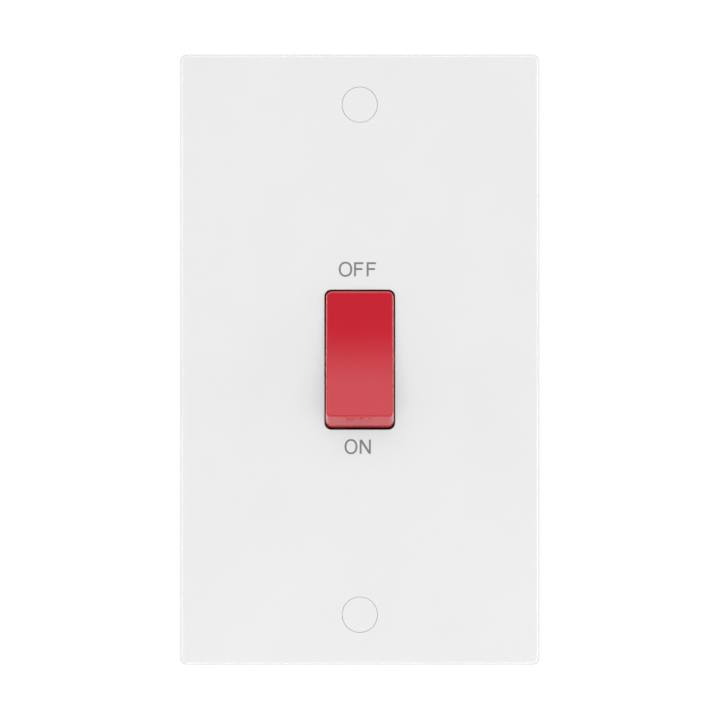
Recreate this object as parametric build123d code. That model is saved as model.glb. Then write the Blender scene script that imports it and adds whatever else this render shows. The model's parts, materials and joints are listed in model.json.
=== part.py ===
from build123d import *

import os
from math import cos, radians, sin, tan

# Double pole wall switch on a tall moulded plate, in millimetres.
# The plate stands upright: +X is to the right as seen from the front, +Y runs into the wall and +Z is up.
# The origin is the middle of the plate's rear rim, in the plane where it meets the wall.
# The switch is modelled OFF: the rocker is pressed in at its top end and stands out at its bottom end.

# Front plate: a tall hollow moulding with drafted sides
plate_width = 86.0
plate_height = 146.0
plate_depth = 9.5
plate_corner_radius = 1.6
side_draft = 4.9
end_draft = 6.8
front_edge_radius = 0.5
front_wall = 2.4
side_wall = 2.2
inner_corner_radius = 0.8
stiffening_rib = 1.0
stiffening_rib_height = 1.8
rib_inset = 9.0

# Opening for the rocker, and the collar behind it that carries the rocker's pins
opening_width = 16.67
opening_height = 33.1
opening_corner_radius = 1.7
opening_draft = 2.0
opening_edge_radius = 0.12
collar_wall = 2.5
collar_height = 4.1
collar_room = 0.35

# Rocker
rock_half_angle = 10.0
pivot_depth = 4.0
rocker_side_gap = 0.2
rocker_end_gap = 0.15
rocker_edge_height = 7.77
rocker_end_draft = 13.5
rocker_side_draft = 1.0
rocker_dish = 0.9
rocker_skirt = 1.5
rocker_wall = 1.7
rocker_corner_radius = 1.4
rocker_edge_radius = 0.5
rocker_spine = 1.4
trunnion_radius = 1.5
trunnion_length = 2.6
bearing_clearance = 0.05

# Plungers and their springs, one for each pole, in towers on the rocker's back
pole_offset = 4.9
tower_radius = 3.1
tower_length = 7.5
plunger_radius = 2.1
plunger_travel = 2.5
plunger_rear = 2.6
plunger_pocket_radius = 1.55
plunger_floor = 0.8
nose_radius = 1.6
nose_gap = 0.1
sliding_clearance = 0.05
spring_wire = 0.45
spring_radius = 1.15
spring_turns = 6
spring_seat_depth = 4.6

# Moving contacts: see-saw blades on a round ridge behind the rocker
fulcrum_distance = 13.5
blade_swing_share = 0.6
blade_width = 5.5
blade_thickness = 1.6
blade_corner_radius = 1.1
blade_front = 2.4
blade_saddle_half = 3.0
blade_saddle_depth = 0.4
ridge_radius = 1.42
ridge_clearance = 0.06
contact_arm = 15.5
blade_tip_overhang = 2.6
rest_arm = 9.0
contact_gap = 0.05

# Silver contact buttons
button_radius = 2.2
button_shank_radius = 1.1
button_height = 1.25
button_dome_radius = 8.0
button_edge = 0.2
button_hole_clearance = 0.02

# Copper strips between the contacts and the terminals
strip_thickness = 1.2
ridge_height = 3.3
strip_tail = 2.5
joggle_start = 4.0
joggle_end = 6.6
strip_bend_radius = 0.6
tab_height = 9.0
tab_overlap = 13.6
tab_corner_radius = 1.2
rivet_radius = 1.1
rivet_head_radius = 1.9
rivet_head_height = 0.6
rivet_depth = 1.3

# Brass terminals at the four corners of the base
terminal_width = 10.0
terminal_height = 11.0
terminal_length = 15.0
terminal_edge = 0.6
cable_bore_radius = 3.3
cable_bore_front_wall = 1.2
terminal_screw_radius = 2.4
terminal_screw_pitch = 7.4
terminal_screw_travel = 5.6
terminal_head_radius = 2.8
terminal_head_height = 2.0
screw_slot = 0.9
screw_point = 0.35
screw_head_edge = 0.3
thread_clearance = 0.05
screw_tip_gap = 0.15

# Base moulding, its front cover and the screws that hold them to the plate
module_side_wall = 2.0
module_end_wall = 2.5
module_corner_radius = 2.5
cover_thickness = 1.6
base_floor = 2.5
base_wall = 1.9
pole_barrier = 1.8
barrier_drop = 2.2
pole_chamber_half_height = 20.0
chamber_side_gap = 1.35
chamber_wall = 1.7
chimney_height = 5.5
chimney_wall = 1.8
chimney_corner_radius = 1.2
chimney_edge_radius = 0.4
base_edge_radius = 0.6
recess_corner_radius = 1.25
screw_well_radius = 3.1
cable_slot_radius = 3.9
pocket_clearance = 0.1
base_screw_inset_x = 6.0
base_screw_inset_z = 5.0
base_screw_radius = 1.45
base_screw_hole_radius = 1.7
base_screw_head_radius = 2.7
base_screw_head_height = 1.9
base_screw_well_radius = 3.1
base_screw_well_depth = 5.0
base_screw_post_radius = 4.0
base_screw_bite = 3.4
creepage_rib = 1.6
creepage_rib_height = 3.0
plate_boss_radius = 3.6

# Fixing screws, one near each end of the plate, and the caps that hide them
fixing_inset = 12.7
fixing_radius = 1.75
fixing_neck_radius = 1.5
fixing_length = 24.0
fixing_head_radius = 3.3
fixing_head_dome = 0.7
fixing_head_land = 0.3
fixing_point = 0.45
cross_slot_reach = 2.0
fixing_hole_radius = 2.1
fixing_boss_radius = 6.0
fixing_boss_clearance = 1.0
gusset = 1.2
gusset_reach = 6.0
cap_radius = 4.15
cap_gap = 0.08
cap_disc = 1.1
cap_skirt_wall = 0.65
cap_skirt_depth = 2.0
cap_slot = 1.0
cap_recess_depth = 3.4
cap_edge_radius = 0.1

# Earth terminal on its own pedestal below the base
earth_gap = 8.5
earth_length = 14.0
earth_height = 8.5
earth_width = 8.5
earth_front = -0.5
earth_bore_radius = 2.4
earth_bore_y = 3.4
earth_screw_radius = 1.95
earth_screw_offset = 3.4
earth_screw_travel = 3.2
earth_head_radius = 2.8
earth_head_height = 1.8
earth_cheek = 1.5
earth_hook_width = 5.0
earth_hook_lip = 0.9
earth_stop = 1.0
earth_stop_height = 1.2

# Depths worked out along Y from the wall plane
front_y = -plate_depth
wall_rear_y = front_y + front_wall
pivot_y = front_y + pivot_depth
cover_front_y = wall_rear_y + collar_height
base_front_y = cover_front_y + cover_thickness
fulcrum_y = pivot_y + fulcrum_distance
strip_front_y = fulcrum_y + ridge_height
floor_y = strip_front_y + strip_thickness
base_rear_y = floor_y + base_floor
chimney_rear_y = base_rear_y + chimney_height
terminal_front_y = floor_y - terminal_height
cable_bore_y = terminal_front_y + cable_bore_front_wall + cable_bore_radius

# Rocker outline worked out from the opening that it fills
rocker_half_width = opening_width / 2 - rocker_side_gap
skirt_radius = opening_height / 2 - rocker_end_gap
end_slope = radians(rocker_end_draft)
rocker_edge_half = (skirt_radius - rocker_edge_height * sin(end_slope)) / cos(end_slope)
tower_bore_radius = plunger_radius + sliding_clearance
nose_centre = fulcrum_distance - blade_front - nose_gap - nose_radius
bearing_radius = trunnion_radius + bearing_clearance

# Contact positions worked out from the blade's swing
blade_half_angle = blade_swing_share * rock_half_angle
swing = radians(blade_half_angle)
blade_back = blade_front - blade_thickness
dome_centre_y = button_height - blade_back - button_dome_radius
closed_dome_y = dome_centre_y * cos(swing) + contact_arm * sin(swing)
closed_dome_z = contact_arm * cos(swing) - dome_centre_y * sin(swing)
fixed_face_y = fulcrum_y + closed_dome_y + button_dome_radius + contact_gap
rest_y = fulcrum_y + rest_arm * sin(swing) - blade_back * cos(swing) + contact_gap

# Places across the base that several pieces share
rivet_y = terminal_front_y + tab_height / 2
chamber_inner_x = pole_barrier / 2
chamber_outer_x = pole_offset + blade_width / 2 + chamber_side_gap
tab_x = chamber_outer_x + chamber_wall + pocket_clearance
terminal_inner_x = tab_x + strip_thickness
terminal_outer_x = terminal_inner_x + terminal_width
terminal_offset_x = (terminal_inner_x + terminal_outer_x) / 2
strip_low_z = closed_dome_z - blade_width / 2
strip_high_z = closed_dome_z + blade_width / 2
terminal_low_z = strip_low_z
terminal_high_z = terminal_low_z + terminal_length
terminal_offset_z = (terminal_low_z + terminal_high_z) / 2
module_width = 2 * (terminal_outer_x + module_side_wall)
module_height = 2 * (terminal_high_z + module_end_wall)
base_screw_x = module_width / 2 - base_screw_inset_x
base_screw_z = module_height / 2 - base_screw_inset_z
earth_half = earth_width / 2 + pocket_clearance
earth_z = -(module_height / 2 + earth_gap + earth_cheek + earth_half)
fixing_centres = plate_height - 2 * fixing_inset
screw_y = cable_bore_y + cable_bore_radius + screw_tip_gap
head_y = floor_y + terminal_screw_travel + screw_tip_gap
base_screw_places = [
    (base_screw_x, 0),
    (-base_screw_x, 0),
    (0, base_screw_z),
    (0, -base_screw_z),
]

rocker_at_rest = Pos(0, pivot_y, 0) * Rot(-rock_half_angle, 0, 0)
blade_at_rest = Pos(pole_offset, fulcrum_y, 0) * Rot(blade_half_angle, 0, 0)


def block(x, y, z):
    """A box between two limits on each axis."""
    middle = [sum(pair) / 2 for pair in (x, y, z)]
    size = [abs(pair[1] - pair[0]) for pair in (x, y, z)]
    return Pos(*middle) * Box(*size)


def rod_y(radius, y, x=0.0, z=0.0):
    """A round rod along Y between two depths."""
    return Pos(x, sum(y) / 2, z) * Rot(90, 0, 0) * Cylinder(radius, abs(y[1] - y[0]))


def rod_x(radius, x, y=0.0, z=0.0):
    """A round rod along X between two limits."""
    return Pos(sum(x) / 2, y, z) * Rot(0, 90, 0) * Cylinder(radius, abs(x[1] - x[0]))


def rod_z(radius, z, x=0.0, y=0.0):
    """A round rod along Z between two limits."""
    return Pos(x, y, sum(z) / 2) * Cylinder(radius, abs(z[1] - z[0]))


def panel(width, height, corner, y, taper=0.0):
    """A rounded rectangle seen from the front, extruded between two depths, the first the nearer to the wall."""
    face = Plane.XZ.offset(-y[0]) * RectangleRounded(width, height, corner)
    return extrude(face, amount=y[0] - y[1], taper=taper)


def across_x(points, x):
    """A side profile of (y, z) points, extruded between two limits on X."""
    face = make_face(Polyline(*[(x[0], y, z) for y, z in points], close=True))
    return extrude(face, amount=x[1] - x[0], dir=(1, 0, 0))


def left_of(shape):
    """The same piece on the left-hand pole."""
    return mirror(shape, about=Plane.YZ)


def below(shape):
    """The same piece turned over to the lower end."""
    return mirror(shape, about=Plane.XY)


# Front plate
def drafted(inset, corner, depths):
    """A block a constant distance inside the plate's outline, with its sides and ends drafted towards the front."""
    outlines = []
    for y in depths:
        width = plate_width + 2 * (y * tan(radians(side_draft)) - inset)
        height = plate_height + 2 * (y * tan(radians(end_draft)) - inset)
        outlines.append(Plane.XZ.offset(-y) * RectangleRounded(width, height, corner))
    return loft(outlines, ruled=True)


def plate_shell():
    """The hollow tray: drafted sides, a rounded front edge and an open back."""
    tray = drafted(0, plate_corner_radius, (0, front_y))
    front_face = tray.faces().sort_by(Axis.Y)[0]
    tray = fillet(front_face.edges(), front_edge_radius)
    return tray - drafted(side_wall, inner_corner_radius, (0, wall_rear_y))


def plate_collar():
    """The frame behind the opening, which the base's cover closes."""
    room = 2 * collar_room
    depths = (cover_front_y, wall_rear_y)
    outer = panel(
        opening_width + room + 2 * collar_wall,
        opening_height + room + 2 * collar_wall,
        opening_corner_radius + collar_wall,
        depths,
    )
    inner = panel(
        opening_width + room,
        opening_height + room,
        opening_corner_radius,
        depths,
    )
    return outer - inner


def plate_ribs():
    """Low stiffening ribs inside the tray, a frame parallel to its sides."""
    inner_width = plate_width - 2 * side_wall - 2 * rib_inset
    inner_height = plate_height - 2 * side_wall - 2 * rib_inset
    depths = (wall_rear_y + stiffening_rib_height, wall_rear_y)
    outer = panel(inner_width, inner_height, plate_corner_radius, depths)
    inner = panel(
        inner_width - 2 * stiffening_rib,
        inner_height - 2 * stiffening_rib,
        inner_corner_radius,
        depths,
    )
    frame = outer - inner
    collar_x = opening_width / 2 + collar_room + collar_wall / 2
    collar_z = opening_height / 2 + collar_room + collar_wall / 2
    boss_z = fixing_centres / 2 - fixing_boss_radius / 2
    half = stiffening_rib / 2
    y = (wall_rear_y, wall_rear_y + stiffening_rib_height)
    for side in (-1, 1):
        frame += block((side * collar_x, side * (inner_width - stiffening_rib) / 2), y, (-half, half))
        frame += block((-half, half), y, (side * collar_z, side * boss_z))
    return frame


def fixing_boss(z):
    """The boss round one fixing screw, with a gusset on each side."""
    rear = -fixing_boss_clearance
    boss = rod_y(fixing_boss_radius, (wall_rear_y, rear), z=z)
    reach = fixing_boss_radius + gusset_reach
    low = wall_rear_y + stiffening_rib_height
    profile = Plane.XY.offset(z - gusset / 2) * make_face(
        Polyline(
            (-reach, wall_rear_y),
            (reach, wall_rear_y),
            (reach, low),
            (fixing_boss_radius / 2, rear - gusset),
            (-fixing_boss_radius / 2, rear - gusset),
            (-reach, low),
            close=True,
        )
    )
    return boss + extrude(profile, amount=gusset)


def fixing_hole(z):
    """The stepped hole of one fixing screw: cap recess, countersink and clearance hole."""
    seat_y = front_y + cap_recess_depth
    sink = fixing_head_radius - fixing_hole_radius
    outline = Plane.XY.offset(z) * make_face(
        Polyline(
            (0, front_y - front_wall),
            (cap_radius + cap_gap, front_y - front_wall),
            (cap_radius + cap_gap, seat_y),
            (fixing_head_radius, seat_y),
            (fixing_hole_radius, seat_y + sink),
            (fixing_hole_radius, 0),
            (0, 0),
            close=True,
        )
    )
    return revolve(outline, Axis((0, 0, z), (0, 1, 0)), 360)


def earth_pedestal():
    """The pedestal under the earth terminal, with a hooked cheek above and below it and a stop at each end."""
    half_x = earth_length / 2
    wide = (-earth_hook_width / 2, earth_hook_width / 2)
    outer = earth_half + earth_cheek
    rear = earth_front + earth_height + screw_tip_gap
    long = half_x + pocket_clearance + earth_stop
    stand = block(
        (-long, long),
        (wall_rear_y, earth_front + earth_stop_height),
        (earth_z - earth_half, earth_z + earth_half),
    )
    seat = half_x + pocket_clearance
    stand -= block(
        (-seat, seat),
        (earth_front, earth_front + earth_stop_height),
        (earth_z - earth_half, earth_z + earth_half),
    )
    for side in (-1, 1):
        near, far, lip = earth_half, outer, earth_half - earth_hook_lip
        cheek = across_x(
            [
                (wall_rear_y, earth_z + side * near),
                (rear, earth_z + side * near),
                (rear, earth_z + side * lip),
                (rear + earth_hook_lip, earth_z + side * near),
                (rear + earth_hook_lip, earth_z + side * far),
                (wall_rear_y, earth_z + side * far),
            ],
            wide,
        )
        stand += cheek
    return stand


def front_plate():
    plate = plate_shell() + plate_collar() + plate_ribs() + earth_pedestal()
    for x, z in base_screw_places:
        plate += rod_y(plate_boss_radius, (wall_rear_y, cover_front_y), x, z)
    for end in (1, -1):
        plate += fixing_boss(end * fixing_centres / 2)
    opening = panel(
        opening_width + 2 * front_wall * sin(radians(opening_draft)),
        opening_height + 2 * front_wall * sin(radians(opening_draft)),
        opening_corner_radius,
        (wall_rear_y, front_y),
        opening_draft,
    )
    plate -= opening
    rim = [
        edge
        for edge in plate.edges().filter_by_position(Axis.Y, front_y, front_y)
        if abs(edge.center().X) < opening_width and abs(edge.center().Z) < opening_height
    ]
    plate = fillet(rim, opening_edge_radius)
    for end in (1, -1):
        plate -= fixing_hole(end * fixing_centres / 2)
    for x, z in base_screw_places:
        hole = (cover_front_y - base_screw_bite - screw_tip_gap, cover_front_y)
        plate -= rod_y(base_screw_radius + thread_clearance, hole, x, z)
    slot_x = opening_width / 2 + collar_room + collar_wall
    plate -= rod_x(bearing_radius, (-slot_x, slot_x), pivot_y)
    plate -= block(
        (-slot_x, slot_x),
        (pivot_y, cover_front_y),
        (-bearing_radius, bearing_radius),
    )
    return plate


# Rocker and what rides in it, each in the rocker's own frame: the pivot is the origin and +Y points back
def rocker_outline(inset=0.0):
    """The rocker's side outline: a dished front, drafted ends and a skirt that turns about the pivot."""
    edge_y = -rocker_edge_height + inset
    edge_z = rocker_edge_half - inset
    radius = skirt_radius - inset
    turn_y = -radius * sin(end_slope)
    turn_z = radius * cos(end_slope)
    skirt_z = (radius**2 - rocker_skirt**2) ** 0.5
    corners = [(0, edge_y, side * edge_z) for side in (1, -1)]
    turns = [(0, turn_y, side * turn_z) for side in (1, -1)]
    feet = [(0, rocker_skirt, side * skirt_z) for side in (1, -1)]
    dish = ThreePointArc(corners[0], (0, edge_y + rocker_dish, 0), corners[1])
    ends = [Line(corners[i], turns[i]) for i in (0, 1)]
    middles = [(0, 0, side * radius) for side in (1, -1)]
    skirts = [ThreePointArc(turns[i], middles[i], feet[i]) for i in (0, 1)]
    return make_face(Curve() + [dish, *ends, *skirts, Line(feet[0], feet[1])])


def rocker_body(inset=0.0):
    """The rocker's outer form, or its hollow where it is inset."""
    half = rocker_half_width - inset
    profile = rocker_outline(inset)
    slab = extrude(profile, amount=2 * half, dir=(1, 0, 0))
    slab = Pos(-half, 0, 0) * slab
    wide = Plane.XZ.offset(-rocker_skirt) * Rectangle(2 * half, 4 * rocker_edge_half)
    wedge = extrude(wide, amount=2 * rocker_edge_height, taper=rocker_side_draft)
    return slab & wedge


def rocker():
    body = rocker_body()
    uprights = [
        edge
        for edge in body.edges()
        if abs(edge.center().Z) > rocker_edge_half / 2
        and abs(edge.center().X) > rocker_half_width / 2
        and edge.bounding_box().size.Y > rocker_edge_height / 4
    ]
    body = fillet(uprights, rocker_corner_radius)
    front_faces = body.faces().filter_by(GeomType.CYLINDER).sort_by(Axis.Y)[0]
    body = fillet(front_faces.edges(), rocker_edge_radius)
    body -= rocker_body(rocker_wall) + block(
        (-rocker_half_width + rocker_wall, rocker_half_width - rocker_wall),
        (0, 2 * rocker_skirt),
        (-rocker_edge_half, rocker_edge_half),
    )
    inner_front = -rocker_edge_height + rocker_dish + rocker_wall / 2
    spine_half = rocker_spine / 2
    spine_reach = rocker_edge_half - rocker_wall / 2
    body += block(
        (-spine_half, spine_half),
        (inner_front, -rocker_skirt),
        (-spine_reach, spine_reach),
    )
    for side in (-1, 1):
        at = side * pole_offset
        pin_x = (side * (rocker_half_width - rocker_wall), side * (rocker_half_width + trunnion_length))
        body += rod_x(trunnion_radius, pin_x)
        body += rod_y(tower_radius, (inner_front, tower_length), at)
    for side in (-1, 1):
        at = side * pole_offset
        body -= rod_y(tower_bore_radius, (plunger_rear - plunger_travel, tower_length), at)
        body -= rod_y(spring_radius + spring_wire, (-spring_seat_depth, tower_length), at)
    return body


def plunger():
    """A hollow plunger with a round nose, open towards its spring."""
    floor = nose_centre - nose_radius
    body = rod_y(plunger_radius, (plunger_rear, floor))
    body += rod_y(nose_radius, (floor, nose_centre))
    body += Pos(0, nose_centre, 0) * Sphere(nose_radius)
    return body - rod_y(plunger_pocket_radius, (plunger_rear, floor - plunger_floor))


def plunger_spring():
    """An open coil from the bottom of the rocker's bore to the floor of the plunger."""
    start = -spring_seat_depth + spring_wire / 2
    end = nose_centre - nose_radius - plunger_floor - spring_wire / 2
    pitch = (end - start) / spring_turns
    path = Helix(pitch, end - start, spring_radius, center=(0, start, 0), direction=(0, 1, 0))
    section = Plane(path @ 0, z_dir=path % 0) * Circle(spring_wire / 2)
    return sweep(section, path=path)


# Moving contact, in its own frame: the ridge that it rocks on is the origin
def contact_blade():
    """The see-saw blade: a flat bar with a half-round saddle on its back."""
    low, high = -rest_arm, contact_arm + blade_tip_overhang
    half = blade_width / 2
    bar = block((-half, half), (-blade_front, -blade_back), (low, high))
    bar = fillet(bar.edges().filter_by(Axis.Y), blade_corner_radius)
    saddle = block(
        (-half, half),
        (-blade_back, blade_saddle_depth),
        (-blade_saddle_half, blade_saddle_half),
    )
    bar += saddle
    seat = ridge_radius + ridge_clearance
    bar -= rod_x(seat, (-half, half))
    bar -= block((-half, half), (0, 2 * blade_saddle_depth), (-seat, seat))
    hole = button_shank_radius + button_hole_clearance
    return bar - rod_y(hole, (-blade_front, 0), z=contact_arm)


def domed_button():
    """The moving contact's button: a domed head on the blade's back and a shank through it."""
    y = -blade_back
    head = rod_y(button_radius, (y, y + button_height), z=contact_arm)
    dome = Pos(0, y + button_height - button_dome_radius, contact_arm) * Sphere(button_dome_radius)
    return (head & dome) + rod_y(button_shank_radius, (-blade_front, y), z=contact_arm)


# Fixed conductors of the right-hand upper or lower terminal
def fixed_button():
    """The flat button on the supply strip, with a shank through the strip."""
    place = {"x": pole_offset, "z": closed_dome_z}
    head = rod_y(button_radius, (fixed_face_y, strip_front_y), **place)
    head = chamfer(head.edges().group_by(Axis.Y)[0], button_edge)
    return head + rod_y(button_shank_radius, (strip_front_y, floor_y), **place)


def strip_tab(rear_y, front_y_of_tab, z):
    """The upright tab that lies against a terminal's inner side."""
    tab = block((tab_x, terminal_inner_x), (front_y_of_tab, rear_y), z)
    return fillet(tab.edges().filter_by(Axis.X).group_by(Axis.Y)[0], tab_corner_radius)


def rivet_hole():
    """The hole through a tab and into its terminal."""
    radius = rivet_radius + button_hole_clearance
    return rod_x(radius, (tab_x, terminal_inner_x + rivet_depth), rivet_y, terminal_offset_z)


def strip_rivet():
    """The rivet that holds a tab to its terminal."""
    shank = rod_x(rivet_radius, (tab_x, terminal_inner_x + rivet_depth), rivet_y, terminal_offset_z)
    head = rod_x(rivet_head_radius, (tab_x - rivet_head_height, tab_x), rivet_y, terminal_offset_z)
    head = fillet(head.edges().sort_by(Axis.X)[0], rivet_head_height / 2)
    return shank + head


def supply_strip():
    """From the fixed button outwards, then forwards up the side of the supply terminal."""
    half = blade_width / 2
    foot = block(
        (pole_offset - half, terminal_inner_x),
        (strip_front_y, floor_y),
        (strip_low_z, strip_high_z),
    )
    foot = fillet(foot.edges().filter_by(Axis.Y).group_by(Axis.X)[0], strip_bend_radius)
    reach = (strip_low_z, strip_low_z + tab_overlap)
    strip = foot + strip_tab(floor_y, terminal_front_y + strip_bend_radius, reach)
    corner = strip.edges().filter_by(Axis.Z).filter_by_position(
        Axis.Y, floor_y, floor_y
    ).filter_by_position(Axis.X, terminal_inner_x, terminal_inner_x)
    strip = fillet(corner, strip_bend_radius)
    hole = button_shank_radius + button_hole_clearance
    strip -= rod_y(hole, (strip_front_y, floor_y), pole_offset, closed_dome_z)
    return strip - rivet_hole()


def load_strip():
    """From the ridge under the blade, down over a joggle and out to the load terminal."""
    half = blade_width / 2
    wide = (pole_offset - half, pole_offset + half)
    foot_low, foot_high = -strip_high_z, -strip_low_z
    raised_rear = rest_y + strip_thickness
    ribbon = across_x(
        [
            (strip_front_y, strip_tail),
            (floor_y, strip_tail),
            (floor_y, -joggle_start - strip_bend_radius),
            (raised_rear, -joggle_end - strip_bend_radius),
            (raised_rear, foot_low),
            (rest_y, foot_low),
            (rest_y, -joggle_end),
            (strip_front_y, -joggle_start),
        ],
        wide,
    )
    ridge = rod_x(ridge_radius, wide, fulcrum_y)
    ridge += block(wide, (fulcrum_y, strip_front_y), (-ridge_radius, ridge_radius))
    foot = block((wide[0], terminal_inner_x), (rest_y, raised_rear), (foot_low, foot_high))
    reach = (foot_high - tab_overlap, foot_high)
    tab = strip_tab(raised_rear, terminal_front_y + strip_bend_radius, reach)
    hole = below(rivet_hole())
    return ribbon + ridge + foot + tab - hole


def terminal():
    """One brass terminal: a cable bore along Z and two tapped holes from the back."""
    body = block(
        (terminal_inner_x, terminal_outer_x),
        (terminal_front_y, floor_y),
        (terminal_low_z, terminal_high_z),
    )
    body = chamfer(body.edges().filter_by(Axis.Z), terminal_edge)
    reach = (terminal_low_z, terminal_high_z)
    body -= rod_z(cable_bore_radius, reach, terminal_offset_x, cable_bore_y)
    for z in terminal_screw_heights():
        tapped = terminal_screw_radius + thread_clearance
        body -= rod_y(tapped, (cable_bore_y, floor_y), terminal_offset_x, z)
    return body - rivet_hole()


def terminal_screw_heights():
    half = terminal_screw_pitch / 2
    return (terminal_offset_z - half, terminal_offset_z + half)


def slotted_screw(radius, head_radius, head_height, tip_y, under_head_y, x, z):
    """A cheese-headed screw that enters from the back, drawn with a plain shank."""
    shank = rod_y(radius, (tip_y, under_head_y), x, z)
    shank = chamfer(shank.edges().sort_by(Axis.Y)[0], screw_point)
    top = under_head_y + head_height
    head = rod_y(head_radius, (under_head_y, top), x, z)
    head = fillet(head.edges().sort_by(Axis.Y)[-1], screw_head_edge)
    across = (x - head_radius, x + head_radius)
    slot = block(across, (top - head_height / 2, top), (z - screw_slot / 2, z + screw_slot / 2))
    return shank + head - slot


def terminal_screw(z):
    return slotted_screw(
        terminal_screw_radius,
        terminal_head_radius,
        terminal_head_height,
        screw_y,
        head_y,
        terminal_offset_x,
        z,
    )


# Base moulding and cover
def chimney(side_x, side_z):
    """The raised block over one terminal, which guards its two screws."""
    x = (
        side_x * (terminal_inner_x - chimney_wall / 2),
        side_x * (terminal_outer_x + chimney_wall),
    )
    z = (side_z * (terminal_low_z + terminal_edge), side_z * (terminal_high_z - terminal_edge))
    raised = block(x, (floor_y, chimney_rear_y), z)
    raised = fillet(raised.edges().filter_by(Axis.Y), chimney_corner_radius)
    rear = raised.faces().sort_by(Axis.Y)[-1]
    return fillet(rear.edges(), chimney_edge_radius)


def terminal_pocket(side_x, side_z):
    """The pocket for one terminal and its strip's tab, open to the front, with its cable slot."""
    gap = pocket_clearance
    depths = (base_front_y, floor_y)
    x = (side_x * (tab_x - gap), side_x * (terminal_outer_x + gap))
    z = (side_z * (terminal_low_z - gap), side_z * (terminal_high_z + gap))
    pocket = block(x, depths, z)
    tab_z = (side_z * (strip_low_z - gap), side_z * terminal_offset_z)
    pocket += block(x, depths, tab_z)
    head_reach = rivet_head_radius + gap
    pocket += block(
        (side_x * (tab_x - rivet_head_height - gap), side_x * tab_x),
        (base_front_y, rivet_y + head_reach),
        (side_z * (terminal_offset_z - head_reach), side_z * (terminal_offset_z + head_reach)),
    )
    cable_x = side_x * terminal_offset_x
    out = (side_z * terminal_offset_z, side_z * module_height / 2)
    pocket += rod_z(cable_slot_radius, out, cable_x, cable_bore_y)
    pocket += block(
        (cable_x - cable_slot_radius, cable_x + cable_slot_radius),
        (base_front_y, cable_bore_y),
        out,
    )
    for z_screw in terminal_screw_heights():
        well = (floor_y, chimney_rear_y)
        pocket += rod_y(screw_well_radius, well, cable_x, side_z * z_screw)
    return pocket


def pole_chamber(side_x):
    """The room for one pole's blade, strips and plunger, open to the front."""
    depths = (base_front_y, floor_y)
    inner, outer = side_x * chamber_inner_x, side_x * chamber_outer_x
    top = pole_chamber_half_height
    room = block((inner, outer), depths, (-joggle_end - strip_bend_radius, top))
    raised_floor = rest_y + strip_thickness
    room += block((inner, outer), (base_front_y, raised_floor), (-top, 0))
    gap = pocket_clearance
    doorway = (outer, side_x * tab_x)
    room += block(doorway, depths, (strip_low_z - gap, strip_high_z + gap))
    load_door = (-strip_high_z - gap, -strip_low_z + gap)
    room += block(doorway, (base_front_y, raised_floor), load_door)
    return room


def side_recess(side_x):
    """The cored-out room between the upper and lower terminals, round one screw post."""
    reach = strip_low_z - base_wall
    x = (side_x * (tab_x + base_wall), side_x * (module_width / 2 - base_wall))
    room = block(x, (base_front_y, floor_y), (-reach, reach))
    room = fillet(room.edges().filter_by(Axis.Y), recess_corner_radius)
    post = rod_y(base_screw_post_radius, (base_front_y, floor_y), side_x * base_screw_x)
    return room - post


def joggle_wedge(side_x):
    """The sloping floor under one load strip's joggle."""
    raised = rest_y + strip_thickness
    start, end = -joggle_start - strip_bend_radius, -joggle_end - strip_bend_radius
    inner, outer = chamber_inner_x, chamber_outer_x
    wedge = across_x([(floor_y, start), (raised, end), (floor_y, end)], (inner, outer))
    return wedge if side_x > 0 else left_of(wedge)


def switch_base():
    base = panel(
        module_width,
        module_height,
        module_corner_radius,
        (base_rear_y, base_front_y),
    )
    rear = base.faces().sort_by(Axis.Y)[-1]
    base = fillet(rear.edges(), base_edge_radius)
    rib_reach = base_screw_z - base_screw_well_radius - base_wall
    base += block(
        (-creepage_rib / 2, creepage_rib / 2),
        (base_rear_y, base_rear_y + creepage_rib_height),
        (-rib_reach, rib_reach),
    )
    sides = [(x, z) for x in (1, -1) for z in (1, -1)]
    for x, z in sides:
        base += chimney(x, z)
    for x, z in sides:
        base -= terminal_pocket(x, z)
    for x in (1, -1):
        base -= pole_chamber(x)
        base -= side_recess(x)
        base += joggle_wedge(x)
    notch_half = pole_chamber_half_height - base_wall
    base -= block(
        (-chamber_inner_x, chamber_inner_x),
        (base_front_y, base_front_y + barrier_drop),
        (-notch_half, notch_half),
    )
    for x, z in base_screw_places:
        base -= rod_y(base_screw_hole_radius, (base_front_y, base_rear_y), x, z)
        well = (base_rear_y - base_screw_well_depth, base_rear_y)
        base -= rod_y(base_screw_well_radius, well, x, z)
    return base


def mechanism_cover():
    """The flat cover between the base and the plate, with a saddle behind each rocker pin."""
    depths = (base_front_y, cover_front_y)
    cover = panel(module_width, module_height, module_corner_radius, depths)
    room = 2 * collar_room
    cover -= panel(
        opening_width + room,
        opening_height + 2 * room,
        opening_corner_radius,
        depths,
    )
    for x, z in base_screw_places:
        cover -= rod_y(base_screw_hole_radius, depths, x, z)
    near = opening_width / 2 + collar_room
    far = near + collar_wall
    half = trunnion_radius
    for side in (-1, 1):
        saddle = block((side * near, side * far), (pivot_y, cover_front_y), (-half, half))
        cover += saddle - rod_x(bearing_radius, (side * near, side * far), pivot_y)
    return cover


def base_screws():
    """Pan-head screws through the base and cover into the plate's bosses."""
    seat_y = base_rear_y - base_screw_well_depth
    tip_y = cover_front_y - base_screw_bite
    screws = Part()
    for x, z in base_screw_places:
        screws += slotted_screw(
            base_screw_radius,
            base_screw_head_radius,
            base_screw_head_height,
            tip_y,
            seat_y,
            x,
            z,
        )
    return screws


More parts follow.
